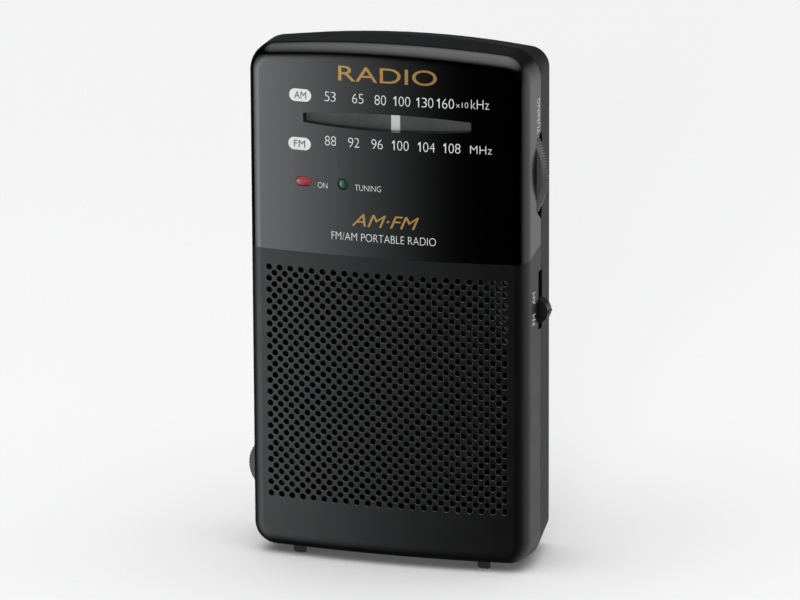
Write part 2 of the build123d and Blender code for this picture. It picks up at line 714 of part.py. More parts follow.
def can(x, z):
    """A screened coil behind the board, with its adjusting slug."""
    half = CAN_SIDE / 2
    back = BOARD_BACK + CAN_HEIGHT
    body = block(x - half, x + half, BOARD_BACK, back, z - half, z + half)
    body = fillet(body.edges().filter_by(Axis.Y), 0.6)
    return body - rod_y(x, z, half / 2, back - 1, back + 1)


def drum_capacitor(x, z, radius, height):
    """A round electrolytic capacitor behind the board, with its crimped ring."""
    body = rod_y(x, z, radius, BOARD_BACK, BOARD_BACK + height)
    ring = rod_y(x, z, radius + 1, BOARD_BACK + 1.2, BOARD_BACK + 1.7) - rod_y(x, z, radius - 0.25, 0, DEPTH)
    return body - ring


def ferrite_rod():
    """The medium-wave aerial's core."""
    return rod_x(-ROD_HALF_LENGTH, ROD_HALF_LENGTH, ROD_DEPTH, ROD_Z, ROD_RADIUS)


def aerial_coil():
    """The winding on the ferrite rod."""
    return rod_x(-13.0, 1.0, ROD_DEPTH, ROD_Z, COIL_RADIUS) - rod_x(-14, 2, ROD_DEPTH, ROD_Z, ROD_RADIUS)


def rod_holder(x):
    """A clip that stands on the board's upper edge and holds the ferrite rod."""
    half = 1.4
    holder = block(x - half, x + half, 12.0, 21.1, BOARD_TOP, ROD_Z + 2)
    holder += block(x - half, x + half, BOARD_FRONT - 1.2, BOARD_FRONT, BOARD_TOP - 2.5, BOARD_TOP + 1)
    return holder - rod_x(x - 2, x + 2, ROD_DEPTH, ROD_Z, ROD_RADIUS)


# ---- Earphone socket ----
def earphone_jack():
    """The 3.5 mm socket: a body on the board's front and a nose through the case's left side."""
    body = block(-30.0, -17.4, 6.4, BOARD_FRONT, JACK_Z - 3.6, JACK_Z + 3.6)
    nose = rod_x(-32.4, -29.9, JACK_DEPTH, JACK_Z, 2.8)
    return body + nose - rod_x(-WIDTH, -18.4, JACK_DEPTH, JACK_Z, JACK_BORE)


# ---- Batteries ----
def cell(x, nub_up):
    """An AA cell, whose nub touches one contact plate and whose flat end has a spring."""
    low = TRAY_LOW + CONTACT_THICK + (CONTACT_SPACE if nub_up else NUB_HEIGHT)
    high = low + CELL_BODY
    body = rod_z(x, CELL_DEPTH, low, high, CELL_RADIUS)
    body = fillet(body.edges().filter_by(GeomType.CIRCLE), 0.5)
    if nub_up:
        return body + rod_z(x, CELL_DEPTH, high - 0.1, high + NUB_HEIGHT, 2.7)
    return body + rod_z(x, CELL_DEPTH, low - NUB_HEIGHT, low + 0.1, 2.7)


def contact_spring(x, at_top):
    """The coil spring that presses on a cell's flat end: three turns, clear of the plate and the cell."""
    wire_radius = 0.22
    height = CONTACT_SPACE - 2 * wire_radius - 0.1
    path = Helix(pitch=height / 3, height=height, radius=3.2)
    wire = sweep(Plane(origin=path @ 0, z_dir=path % 0) * Circle(wire_radius), path=path, is_frenet=True)
    low = TRAY_HIGH - CONTACT_THICK - CONTACT_SPACE if at_top else TRAY_LOW + CONTACT_THICK
    return Pos(x, y_of(CELL_DEPTH), low + wire_radius + 0.05) * wire


def contact_plate(x_low, x_high, at_top):
    """A metal plate in an end of the battery tray."""
    low = TRAY_HIGH - CONTACT_THICK if at_top else TRAY_LOW
    return block(x_low, x_high, 15.0, 24.5, low, low + CONTACT_THICK)


# ---- Rod antenna, stowed pointing down in its trough ----
def antenna_base():
    """The fork that the antenna turns in, and its pin."""
    pivot = ANTENNA_PIVOT_Z
    base = block(ANTENNA_X - 2.8, ANTENNA_X + 2.8, 22.4, 27.6, pivot - 3.2, pivot + 3.6)
    base -= block(ANTENNA_X - 1.25, ANTENNA_X + 1.25, 23.0, 29, pivot - 5, pivot + 5)
    return base + rod_x(ANTENNA_X - 2.5, ANTENNA_X + 2.5, ANTENNA_DEPTH, pivot, 0.8)


def antenna_knuckle():
    """The flat eye on the pin, and the collar that carries the first tube."""
    pivot = ANTENNA_PIVOT_Z
    eye = rod_x(ANTENNA_X - 1.1, ANTENNA_X + 1.1, ANTENNA_DEPTH, pivot, 2.1)
    front = ANTENNA_DEPTH - 1.5
    eye += block(ANTENNA_X - 1.1, ANTENNA_X + 1.1, front, front + 3, pivot - 4.7, pivot)
    eye -= rod_x(ANTENNA_X - 3, ANTENNA_X + 3, ANTENNA_DEPTH, pivot, 0.8 + RUNNING)
    return eye + rod_z(ANTENNA_X, ANTENNA_DEPTH, pivot - 6.0, pivot - 4.6, ANTENNA_TUBES[0][0])


def antenna_tube(index):
    """One of the nested tubes, each closed at its upper end; the last is a rod with the tip button."""
    outer, inner = ANTENNA_TUBES[index]
    top = ANTENNA_PIVOT_Z - 6.0 - (0 if index == 0 else 1.0 + 0.8 * index)
    if inner:
        tube = rod_z(ANTENNA_X, ANTENNA_DEPTH, ANTENNA_LOW, top, outer)
        return tube - rod_z(ANTENNA_X, ANTENNA_DEPTH, ANTENNA_LOW - 1, top - 0.6, inner)
    button_top = ANTENNA_LOW - 0.3
    rod = rod_z(ANTENNA_X, ANTENNA_DEPTH, button_top - 0.5, top, outer)
    return rod + rod_z(ANTENNA_X, ANTENNA_DEPTH, button_top - 1.8, button_top, ANTENNA_TUBES[0][0])


save("dial_lens", dial_lens())
save("dial_plate", dial_plate())
save("dial_pointer", dial_pointer())
save("dial_cord", dial_cord())
for side, x, base in (("left", PULLEY_LEFT_X, PLATE_BACK), ("right", PULLEY_RIGHT_X, EAR_BACK)):
    save(f"pulley_pin_{side}", pulley_pin(x, base))
    save(f"cord_pulley_{side}", pulley(x))
save("tuning_wheel", tuning_wheel())
save("dial_drum", dial_drum())
save("tuning_wheel_screw", screw(WHEEL_X, WHEEL_Z, 2.6, 1.0, 9.2, 14.2, 1.1))
save("tuning_shaft", tuning_shaft())
save("tuning_capacitor", tuning_capacitor())
save("volume_wheel", volume_wheel())
save("volume_shaft", volume_shaft())
save("volume_control", volume_control())
save("band_switch_body", band_switch_body())
save("band_switch_knob", band_switch_knob())
save("switch_dust_cover", switch_dust_cover())
save("power_led", power_led())
save("tuning_led", tuning_led())
save("speaker_frame", speaker_frame())
save("speaker_magnet", speaker_magnet())
save("speaker_cone", speaker_cone())
save("speaker_dust_cap", speaker_dust_cap())
save("voice_coil", voice_coil())
save("speaker_clips", *[speaker_clip(*place) for place in CLIP_PLACES])
save("clip_screws", *[screw(x, z, 1.5, 0.6, 3.0, 6.3, 0.8, -1) for x, z, _ in CLIP_PLACES])
save("circuit_board", circuit_board())
save("board_screws", *[screw(x, z, 2.2, 1.0, BOARD_FRONT - 1.2, 22.0, 1.2) for x, z in BOARD_SCREWS])
save("case_screws", *[screw(x, z, 1.8, 1.0, 6.0, 18.4, 1.4, -1) for x, z in CASE_SCREWS])
save("radio_chip", chip(-4.0, 78.5, 12.0, 5.4, 8))
save("amplifier_chip", chip(-23.0, 56.0, 6.0, 4.4, 4))
save("if_transformers", *[can(x, z) for x, z in CANS])
save("electrolytic_capacitors", *[drum_capacitor(*place) for place in CAPACITORS])
save("ferrite_rod", ferrite_rod())
save("aerial_coil", aerial_coil())
save("rod_holder_left", rod_holder(HOLDER_LEFT_X))
save("rod_holder_right", rod_holder(HOLDER_RIGHT_X))
save("earphone_jack", earphone_jack())
save("battery_left", cell(-CELL_X, True))
save("battery_right", cell(CELL_X, False))
save("contact_springs", contact_spring(-CELL_X, False), contact_spring(CELL_X, True))
low_plates = [contact_plate(-13, -2, False), contact_plate(2, 13, False)]
save("contact_plates", contact_plate(-14, 14, True), *low_plates)
save("antenna_base", antenna_base())
save("antenna_knuckle", antenna_knuckle())
for index, name in enumerate(("outer", "second", "third", "tip")):
    save(f"antenna_{name}", antenna_tube(index))
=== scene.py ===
"""The looks of a pocket AM/FM radio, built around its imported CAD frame.

Places are given in millimetres in the CAD frame and turned into metres by MM. Most places on the face are
given as x and z, because the face is a cylinder of radius FACE_RADIUS about an upright axis.
"""

import bpy
from math import cos, pi, radians, sin, sqrt, tan
from mathutils import Matrix, Vector


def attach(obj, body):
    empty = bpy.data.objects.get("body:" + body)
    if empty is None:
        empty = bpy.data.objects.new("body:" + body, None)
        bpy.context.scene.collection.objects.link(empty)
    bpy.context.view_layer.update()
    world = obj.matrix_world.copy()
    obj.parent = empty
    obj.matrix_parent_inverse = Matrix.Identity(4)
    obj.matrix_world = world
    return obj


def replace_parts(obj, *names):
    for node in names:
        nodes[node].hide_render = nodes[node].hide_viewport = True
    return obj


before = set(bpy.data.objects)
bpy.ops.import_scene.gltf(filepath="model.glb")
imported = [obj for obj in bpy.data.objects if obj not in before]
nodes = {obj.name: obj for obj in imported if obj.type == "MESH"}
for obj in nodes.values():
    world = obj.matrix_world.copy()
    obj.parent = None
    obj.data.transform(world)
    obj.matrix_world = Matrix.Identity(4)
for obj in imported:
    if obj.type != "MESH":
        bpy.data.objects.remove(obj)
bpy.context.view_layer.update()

MM = 0.001

# ---- The CAD sizes that the printed marks and the added pieces follow ----
WIDTH = 65.3
DEPTH = 28.7
FRONT_Y = -DEPTH / 2
FRONT_DEPTH = 11.8
FRONT_DRAFT = 3.0
FACE_RADIUS = 184.0

# ---- Camera ----
CAMERA_AZIMUTH = 18.214
CAMERA_ELEVATION = 13.826
CAMERA_ROLL = -0.282
CAMERA_DISTANCE = 1268.3
CAMERA_AIM = (2.13, -8.97, 59.92)
CAMERA_LENS = 258.5
CAMERA_SENSOR = 36.0

# ---- Printing ----
INK_PROUD = 0.02
INK_SUNK = 0.02
NUMERAL_HEIGHT = 2.15
AM_ROW_Z = 105.9
FM_ROW_Z = 96.0
FINE = -0.018  # thins the strokes of small letters
AM_NUMERALS = [("53", -12.1), ("65", -5.6), ("80", -0.4), ("100", 4.4), ("130", 9.6), ("160", 14.2)]
FM_NUMERALS = [("88", -12.1), ("92", -6.6), ("96", -1.2), ("100", 4.0), ("104", 9.9), ("108", 15.6)]
DIGIT_PITCH = 1.45
DIGIT_WIDTH = 1.16
ONE_WIDTH = 0.6
# The outline of the digit 1, of unit height and width
ONE = [(0.62, 0), (0.62, 0.78), (0, 0.66), (0, 0.81), (0.7, 1), (1, 1), (1, 0)]

# Text, middle x, middle z, height and width
SMALL_WORDS = [
    ("x10", 18.05, 105.75, 1.25, 2.7),
    ("kHz", 22.0, 106.0, 2.05, 4.0),
    ("MHz", 22.2, 95.9, 1.8, 4.8),
    ("ON", -14.05, 85.85, 1.3, 2.3),
    ("TUNING", -3.4, 85.95, 1.3, 6.05),
    ("FM/AM PORTABLE RADIO", 0.05, 74.8, 1.75, 24.1),
]
# Text, middle x, middle z, length of the pill and width of its letters
PILLS = [("AM", -19.25, 105.7, 5.3, 2.9), ("FM", -19.5, 94.8, 5.4, 2.7)]
PILL_HEIGHT = 2.8
PILL_LETTER_HEIGHT = 1.6
# Text, depth behind the middle of the face, lowest z and highest z
SIDE_WORDS = [("TUNING", 10.3, 98.4, 106.25), ("AM", 7.4, 60.6, 63.3), ("FM", 7.4, 56.0, 58.4)]
SIDE_LETTER_HEIGHT = 1.7

# ---- Lamps, as x, z, half width, half height and depth of the dome's rim ----
RED_DOME = (-18.6, 86.4, 1.8, 1.0, 1.1)
GREEN_DOME = (-9.2, 86.5, 1.2, 1.2, 0.7)
DOME_RISE = 0.3

# ---- Rounded rims of the sound holes: their grid, and radius and depth round the rim's section ----
HOLE_PITCH = 2.6
HOLE_COLUMNS = 22
HOLE_ROWS = 21
GRILLE_CENTRE_Z = 40.2
RIM_SECTION = [(0.76, -0.005), (0.715, 0.03), (0.68, 0.1), (0.68, 0.3), (0.76, 0.3)]
RIM_STEPS = 16

# ---- Tuning wheel ----
WHEEL_X = 18.6
WHEEL_Z = 89.1
WHEEL_RIBS = 160
RIB_DEPTH = 0.24
# Radius and depth round the wheel's section, and whether the ribs cut in there
WHEEL_SECTION = [
    (3.02, 9.6, False),
    (5.0, 9.6, False),
    (5.0, 10.3, False),
    (13.8, 10.3, False),
    (13.8, 9.62, False),
    (15.0, 9.62, False),
    (15.05, 9.65, True),
    (16.0, 10.7, True),
    (16.0, 11.9, True),
    (15.05, 12.95, True),
    (15.0, 12.98, False),
    (13.8, 12.98, False),
    (13.8, 12.3, False),
    (5.0, 12.3, False),
    (5.0, 13.0, False),
    (3.02, 13.0, False),
]


# ---- Materials ----
def shade_tree(name):
    """A new material with its node tree, its main shader and the object's own coordinates."""
    material = bpy.data.materials.new(name)
    material.use_nodes = True
    tree = material.node_tree
    shader = tree.nodes["Principled BSDF"]
    place = tree.nodes.new("ShaderNodeTexCoord").outputs["Object"]
    return material, tree, shader, place


def noise(tree, place, size, detail=2.0):
    """Soft random grey at a grain size in millimetres."""
    node = tree.nodes.new("ShaderNodeTexNoise")
    node.inputs["Scale"].default_value = 1 / (size * MM)
    node.inputs["Detail"].default_value = detail
    tree.links.new(place, node.inputs["Vector"])
    return node.outputs["Fac"]


def spread(tree, value, low, high):
    """A random grey stretched to run from low to high."""
    node = tree.nodes.new("ShaderNodeMapRange")
    node.inputs["From Min"].default_value = 0.3
    node.inputs["From Max"].default_value = 0.7
    node.inputs["To Min"].default_value = low
    node.inputs["To Max"].default_value = high
    tree.links.new(value, node.inputs["Value"])
    return node.outputs["Result"]


def between(tree, value, first, second):
    """A colour that runs from the first to the second as value goes from 0 to 1."""
    node = tree.nodes.new("ShaderNodeMix")
    node.data_type = "RGBA"
    node.inputs["A"].default_value = (*first, 1)
    node.inputs["B"].default_value = (*second, 1)
    tree.links.new(value, node.inputs["Factor"])
    return node.outputs["Result"]


def relief(tree, shader, height, depth):
    """Bumps of a depth in millimetres."""
    node = tree.nodes.new("ShaderNodeBump")
    node.inputs["Distance"].default_value = depth * MM
    tree.links.new(height, node.inputs["Height"])
    tree.links.new(node.outputs["Normal"], shader.inputs["Normal"])


def surface(
    name, colour, roughness, grain=0.3, depth=0.004, metallic=0.0, patches=8.0, shift=0.12, specular=0.5
):
    """A finish with a fine grain, and with patches where its colour and gloss wander a little."""
    material, tree, shader, place = shade_tree(name)
    patch = spread(tree, noise(tree, place, patches), 0, 1)
    darker = [channel * (1 - shift) for channel in colour]
    lighter = [min(1, channel * (1 + shift)) for channel in colour]
    tree.links.new(between(tree, patch, darker, lighter), shader.inputs["Base Color"])
    gloss = spread(tree, noise(tree, place, patches * 0.6, 4), roughness * 0.93, min(1, roughness * 1.07))
    tree.links.new(gloss, shader.inputs["Roughness"])
    relief(tree, shader, noise(tree, place, grain, 3), depth)
    shader.inputs["Metallic"].default_value = metallic
    shader.inputs["Specular IOR Level"].default_value = specular
    return material


def clear_plastic(name):
    """A thin clear window: what is behind it, with the gloss of its own surface."""
    material, tree, shader, place = shade_tree(name)
    shader.inputs["Base Color"].default_value = (0.02, 0.02, 0.02, 1)
    gloss = spread(tree, noise(tree, place, 5), 0.05, 0.1)
    tree.links.new(gloss, shader.inputs["Roughness"])
    fresnel = tree.nodes.new("ShaderNodeFresnel")
    fresnel.inputs["IOR"].default_value = 1.49
    see_through = tree.nodes.new("ShaderNodeBsdfTransparent")
    see_through.inputs["Color"].default_value = (0.94, 0.95, 0.95, 1)
    mix = tree.nodes.new("ShaderNodeMixShader")
    tree.links.new(fresnel.outputs["Fac"], mix.inputs["Fac"])
    tree.links.new(see_through.outputs["BSDF"], mix.inputs[1])
    tree.links.new(shader.outputs["BSDF"], mix.inputs[2])
    tree.links.new(mix.outputs["Shader"], tree.nodes["Material Output"].inputs["Surface"])
    return material


def lamp(name, colour, glow):
    """The tinted epoxy of a light-emitting diode, faintly lit by its own colour inside."""
    material, tree, shader, place = shade_tree(name)
    patch = spread(tree, noise(tree, place, 1.2), 0, 1)
    deeper = [channel * 0.7 for channel in colour]
    tree.links.new(between(tree, patch, deeper, colour), shader.inputs["Base Color"])
    gloss = spread(tree, noise(tree, place, 0.8), 0.14, 0.22)
    tree.links.new(gloss, shader.inputs["Roughness"])
    relief(tree, shader, noise(tree, place, 0.5), 0.003)
    shader.inputs["Subsurface Weight"].default_value = 0.3
    shader.inputs["Subsurface Radius"].default_value = (0.001, 0.0006, 0.0006)
    shader.inputs["Emission Color"].default_value = (*colour, 1)
    shader.inputs["Emission Strength"].default_value = glow
    return material


finishes = {
    "case_matt": surface("case_matt", (0.002, 0.002, 0.0021), 0.4, grain=0.28, depth=0.006, specular=0.3),
    # Painted highlight: the rims of the sound holes are the case's black plastic made ten times lighter and
    # glossier, so that they read lit.
    "hole_rim_painted_highlight": surface("hole_rim_painted_highlight", (0.02, 0.02, 0.021), 0.34, grain=0.28, depth=0.004, specular=1.0),
    "fascia_gloss": surface(
        "fascia_gloss", (0.0002, 0.0002, 0.00022), 0.15, grain=1.6, depth=0.0012, patches=14
    ),
    "rear_matt": surface("rear_matt", (0.0035, 0.0036, 0.0038), 0.46, grain=0.3, depth=0.008, specular=0.25),
    "clear_window": clear_plastic("clear_window"),
    "dial_grey": surface("dial_grey", (0.1, 0.1, 0.1), 0.5, grain=0.4, depth=0.003),
    "pointer_white": surface("pointer_white", (0.86, 0.86, 0.84), 0.4, grain=0.4, depth=0.003, shift=0.03),
    "cord_white": surface("cord_white", (0.72, 0.7, 0.64), 0.8, grain=0.12, depth=0.03),
    "pulley_nylon": surface("pulley_nylon", (0.74, 0.72, 0.66), 0.45),
    "pin_steel": surface("pin_steel", (0.55, 0.55, 0.56), 0.3, grain=0.15, metallic=1),
    "wheel_black": surface("wheel_black", (0.045, 0.046, 0.046), 0.34, grain=0.25, depth=0.006),
    "drum_white": surface("drum_white", (0.7, 0.69, 0.66), 0.45),
    "brass_part": surface("brass_part", (0.62, 0.45, 0.18), 0.3, grain=0.2, metallic=1),
    "film_capacitor": surface("film_capacitor", (0.5, 0.52, 0.5), 0.35),
    "pot_body": surface("pot_body", (0.05, 0.03, 0.018), 0.5),
    "switch_metal": surface("switch_metal", (0.5, 0.5, 0.5), 0.35, grain=0.2, metallic=1),
    "knob_black": surface("knob_black", (0.006, 0.006, 0.0065), 0.32, grain=0.3, depth=0.004),
    "cover_grey": surface("cover_grey", (0.16, 0.16, 0.16), 0.5),
    "lamp_red": lamp("lamp_red", (0.26, 0.03, 0.045), 0.03),
    "lamp_green": lamp("lamp_green", (0.008, 0.06, 0.022), 0.03),
    # Painted shade: the speaker's steel is near black instead of grey steel, so that the sound holes read
    # dark.
    "speaker_steel": surface("speaker_steel", (0.02, 0.02, 0.02), 0.45, metallic=0.6),
    "magnet_metal": surface("magnet_metal", (0.3, 0.3, 0.31), 0.4, metallic=1),
    "cone_paper": surface("cone_paper", (0.012, 0.012, 0.012), 0.9, grain=0.5, depth=0.03),
    "copper_coil": surface("copper_coil", (0.5, 0.2, 0.08), 0.35, grain=0.15, depth=0.02, metallic=1),
    "dark_steel": surface("dark_steel", (0.01, 0.01, 0.01), 0.5, grain=0.2),
    "screw_steel": surface("screw_steel", (0.5, 0.5, 0.51), 0.28, grain=0.2, metallic=1),
    # Painted shade: the board is darkened to a near-black green instead of its own colour, so that nothing
    # bright shows through the sound holes.
    "board_green": surface("board_green", (0.006, 0.02, 0.01), 0.5),
    "chip_black": surface("chip_black", (0.012, 0.012, 0.013), 0.55),
    "can_tin": surface("can_tin", (0.6, 0.6, 0.6), 0.3, metallic=1),
    "capacitor_sleeve": surface("capacitor_sleeve", (0.02, 0.03, 0.09), 0.35),
    "ferrite": surface("ferrite", (0.03, 0.03, 0.032), 0.6),
    "jack_black": surface("jack_black", (0.006, 0.006, 0.006), 0.3),
    "cell_jacket": surface("cell_jacket", (0.1, 0.22, 0.45), 0.25),
    "spring_steel": surface("spring_steel", (0.6, 0.6, 0.6), 0.25, metallic=1),
    "antenna_chrome": surface(
        "antenna_chrome", (0.78, 0.78, 0.79), 0.12, grain=0.5, depth=0.001, metallic=1, shift=0.03
    ),
}

for node in nodes.values():
    for material_slot in node.material_slots:
        material_slot.material = finishes[material_slot.material.name.split(".")[0]]
# Painted shade: the clip screws and the speaker's clips take the near-black steel instead of their own bright
# steel, so that they show dark through the sound holes.
for name in ("clip_screws", "speaker_clips"):
    nodes[name].material_slots[0].material = finishes["dark_steel"]


# ---- Surfaces of the case ----
def on_face(x, z, proud):
    """A place on the bowed face, proud millimetres in front of it, in metres."""
    y = FRONT_Y + FACE_RADIUS - sqrt((FACE_RADIUS + proud) ** 2 - x**2)
    return Vector((x, y, z)) * MM


def on_right_side(depth, z, proud):
    """A place on the right side of the front half, in metres."""
    x = WIDTH / 2 - (FRONT_DEPTH - depth) * tan(radians(FRONT_DRAFT))
    return Vector((x + proud, FRONT_Y + depth, z)) * MM


# ---- Printed marks ----
def add_mesh(name, verts, faces, material):
    """A new object made of points in metres."""
    mesh = bpy.data.meshes.new(name)
    mesh.from_pydata(verts, [], faces)
    mesh.materials.append(material)
    obj = bpy.data.objects.new(name, mesh)
    bpy.context.scene.collection.objects.link(obj)
    return obj


def lettering(text, slant=0.0, weight=0.0):
    """A word as a flat solid of unit height: its vertices and its faces.

    The vertices count from the corner (0, 0), and their third number is 0 at the back and 1 at the front.
    """
    curve = bpy.data.curves.new("lettering", "FONT")
    curve.body = text
    curve.shear = slant
    curve.offset = weight
    curve.extrude = 0.5
    curve.resolution_u = 6
    holder = bpy.data.objects.new("lettering", curve)
    bpy.context.scene.collection.objects.link(holder)
    evaluated = holder.evaluated_get(bpy.context.evaluated_depsgraph_get())
    mesh = bpy.data.meshes.new_from_object(evaluated)
    left = min(v.co.x for v in mesh.vertices)
    low = min(v.co.y for v in mesh.vertices)
    height = max(v.co.y for v in mesh.vertices) - low
    verts = [((v.co.x - left) / height, (v.co.y - low) / height, v.co.z + 0.5) for v in mesh.vertices]
    faces = [tuple(p.vertices) for p in mesh.polygons]
    bpy.data.objects.remove(holder)
    bpy.data.meshes.remove(mesh)
    bpy.data.curves.remove(curve)
    return verts, faces


def oblong_mark(length, height):
    """A round-ended bar as a flat solid like a word's: unit height, from corner (0, 0)."""
    radius = 0.5
    straight = length / height - 1
    rim = []
    for centre, start in ((radius + straight, -pi / 2), (radius, pi / 2)):
        for step in range(17):
            angle = start + pi * step / 16
            rim.append((centre + radius * cos(angle), radius + radius * sin(angle)))
    count = len(rim)
    verts = [(x, y, side) for side in (0, 1) for x, y in rim]
    faces = [tuple(range(count, 2 * count)), tuple(reversed(range(count)))]
    for i in range(count):
        following = (i + 1) % count
        faces.append((i, following, following + count, i + count))
    return verts, faces


def digit_one():
    """The digit 1 as a flat solid like a word's, of unit height and width."""
    count = len(ONE)
    verts = [(x, y, side) for side in (0, 1) for x, y in ONE]
    faces = [tuple(reversed(range(count, 2 * count))), tuple(range(count))]
    for i in range(count):
        following = (i + 1) % count
        faces.append((i, i + count, following + count, following))
    return verts, faces


class Ink:
    """Marks of one colour that are printed on the case, gathered into one mesh."""

    def __init__(self, name, lift=0.0):
        self.name = name
        self.lift = lift
        self.verts = []
        self.faces = []

    def add(self, shape, place):
        """Adds a flat solid, whose place() turns its x, its height and how proud it is into a point."""
        first = len(self.verts)
        verts, faces = shape
        for x, y, side in verts:
            proud = self.lift + (INK_PROUD if side > 0.5 else -INK_SUNK)
            self.verts.append(place(x, y, proud))
        self.faces += [tuple(first + i for i in face) for face in faces]

    def on_front(self, shape, centre_x, centre_z, height, width=None):
        """Prints a shape on the face at a height, stretched to a width if there is one."""
        size = max(x for x, _, _ in shape[0])
        across = width / size if width else height
        left = centre_x - size * across / 2
        low = centre_z - height / 2
        self.add(shape, lambda x, y, proud: on_face(left + x * across, low + y * height, proud))

    def number(self, digits, centre_x, centre_z):
        """Prints a number of the dial, digit by digit."""
        for i, digit in enumerate(digits):
            x = centre_x + (i - (len(digits) - 1) / 2) * DIGIT_PITCH
            if digit == "1":
                self.on_front(digit_one(), x, centre_z, NUMERAL_HEIGHT, ONE_WIDTH)
            else:
                self.on_front(lettering(digit, weight=FINE), x, centre_z, NUMERAL_HEIGHT, DIGIT_WIDTH)

    def on_side(self, shape, depth, low_z, high_z, height):
        """Prints a shape on the right side so that it reads upwards."""
        size = max(x for x, _, _ in shape[0])
        across = (high_z - low_z) / size
        front = depth + height / 2
        self.add(shape, lambda x, y, proud: on_right_side(front - y * height, low_z + x * across, proud))

    def piece(self, material):
        """The finished piece, which rides on the radio."""
        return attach(add_mesh(self.name, self.verts, self.faces, material), "radio")


white_ink = Ink("white_print")
for row_z, numerals in ((AM_ROW_Z, AM_NUMERALS), (FM_ROW_Z, FM_NUMERALS)):
    for text, x in numerals:
        white_ink.number(text, x, row_z)
for text, x, z, height, width in SMALL_WORDS:
    white_ink.on_front(lettering(text, weight=FINE), x, z, height, width)
for _, x, z, length, _ in PILLS:
    white_ink.on_front(oblong_mark(length, PILL_HEIGHT), x, z, PILL_HEIGHT, length)
for text, depth, low_z, high_z in SIDE_WORDS:
    white_ink.on_side(lettering(text), depth, low_z, high_z, SIDE_LETTER_HEIGHT)
white_ink.piece(surface("ink_white", (0.5, 0.5, 0.5), 0.45, grain=0.2, depth=0.002, shift=0.04))

black_ink = Ink("pill_letters", lift=INK_PROUD)
for text, x, z, _, width in PILLS:
    black_ink.on_front(lettering(text), x, z, PILL_LETTER_HEIGHT, width)
black_ink.piece(surface("ink_black", (0.01, 0.01, 0.01), 0.4, grain=0.2, depth=0.002))

gold_ink = Ink("gold_print")
gold_ink.on_front(lettering("RADIO"), 1.15, 111.35, 3.4, 22.6)
gold_ink.on_front(lettering("AM·FM", slant=0.35), 0.55, 78.7, 2.8, 15.6)
gold = surface("ink_gold", (0.3, 0.17, 0.045), 0.35, grain=0.2, depth=0.003, metallic=0.4, shift=0.08)
gold_ink.piece(gold)


# ---- Lamps, tuning wheel and rims of the sound holes ----
def dome(name, place, material, rings=8, around=40):
    """The rounded front of a lamp, closed behind by a flat back."""
    x, z, half_width, half_height, rim_depth = place
    verts = []
    for ring in range(rings):
        lean = pi / 2 * ring / rings
        for step in range(around):
            angle = 2 * pi * step / around
            across = half_width * cos(lean) * cos(angle)
            up = half_height * cos(lean) * sin(angle)
            verts.append(Vector((x + across, FRONT_Y + rim_depth - DOME_RISE * sin(lean), z + up)) * MM)
    verts.append(Vector((x, FRONT_Y + rim_depth - DOME_RISE, z)) * MM)
    faces = [tuple(reversed(range(around)))]
    for ring in range(rings - 1):
        for step in range(around):
            low = ring * around + step
            beside = ring * around + (step + 1) % around
            faces.append((low, beside, beside + around, low + around))
    last = (rings - 1) * around
    for step in range(around):
        faces.append((last + step, last + (step + 1) % around, len(verts) - 1))
    obj = add_mesh(name, verts, faces, material)
    for polygon in obj.data.polygons:
        polygon.use_smooth = True
    obj.data.polygons[0].use_smooth = False
    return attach(obj, "radio")


dome("power_led_dome", RED_DOME, finishes["lamp_red"])
dome("tuning_led_dome", GREEN_DOME, finishes["lamp_green"])


def ribbed_wheel():
    """The tuning wheel with a bevelled and ribbed rim, in place of the plain one."""
    verts = []
    faces = []
    steps = 2 * WHEEL_RIBS
    points = len(WHEEL_SECTION)
    for step in range(steps):
        angle = 2 * pi * step / steps
        for radius, depth, ribbed in WHEEL_SECTION:
            reach = radius - (RIB_DEPTH if ribbed and step % 2 else 0)
            place = (WHEEL_X + reach * cos(angle), FRONT_Y + depth, WHEEL_Z + reach * sin(angle))
            verts.append(Vector(place) * MM)
    for step in range(steps):
        here = step * points
        beside = (step + 1) % steps * points
        for i in range(points):
            following = (i + 1) % points
            faces.append((here + i, here + following, beside + following, beside + i))
    wheel = add_mesh("tuning_wheel_ribbed", verts, faces, finishes["wheel_black"])
    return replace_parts(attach(wheel, "tuning"), "tuning_wheel")


ribbed_wheel()


def hole_places():
    """The middles of the sound holes: a square grid, and a second one in the middles of the first."""
    places = []
    for columns, rows in ((HOLE_COLUMNS, HOLE_ROWS), (HOLE_COLUMNS - 1, HOLE_ROWS - 1)):
        for column in range(columns):
            for row in range(rows):
                x = (column - (columns - 1) / 2) * HOLE_PITCH
                z = GRILLE_CENTRE_Z + (row - (rows - 1) / 2) * HOLE_PITCH
                places.append((x, z))
    return places


def hole_rims():
    """The rounded rims of all the sound holes, as closed rings in one piece, in a lightened copy of the
    case's plastic that paints a highlight on them.
    """
    verts = []
    faces = []
    points = len(RIM_SECTION)
    for x, z in hole_places():
        first = len(verts)
        for step in range(RIM_STEPS):
            angle = 2 * pi * step / RIM_STEPS
            for radius, depth in RIM_SECTION:
                verts.append(on_face(x + radius * cos(angle), z + radius * sin(angle), -depth))
        for step in range(RIM_STEPS):
            here = first + step * points
            beside = first + (step + 1) % RIM_STEPS * points
            for i in range(points):
                following = (i + 1) % points
                faces.append((here + i, here + following, beside + following, beside + i))
    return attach(add_mesh("sound_hole_rims", verts, faces, finishes["hole_rim_painted_highlight"]), "radio")


hole_rims()


# ---- Stage ----
FLOOR_HALF = 8.0  # metres
pale = surface("floor_white", (0.72, 0.72, 0.72), 0.9, grain=20, depth=0.0, patches=900, shift=0.01)
floor_corners = [
    (-FLOOR_HALF, -FLOOR_HALF, 0),
    (FLOOR_HALF, -FLOOR_HALF, 0),
    (FLOOR_HALF, FLOOR_HALF, 0),
    (-FLOOR_HALF, FLOOR_HALF, 0),
]
floor = add_mesh("floor", floor_corners, [(0, 1, 2, 3)], pale)
floor.visible_glossy = False


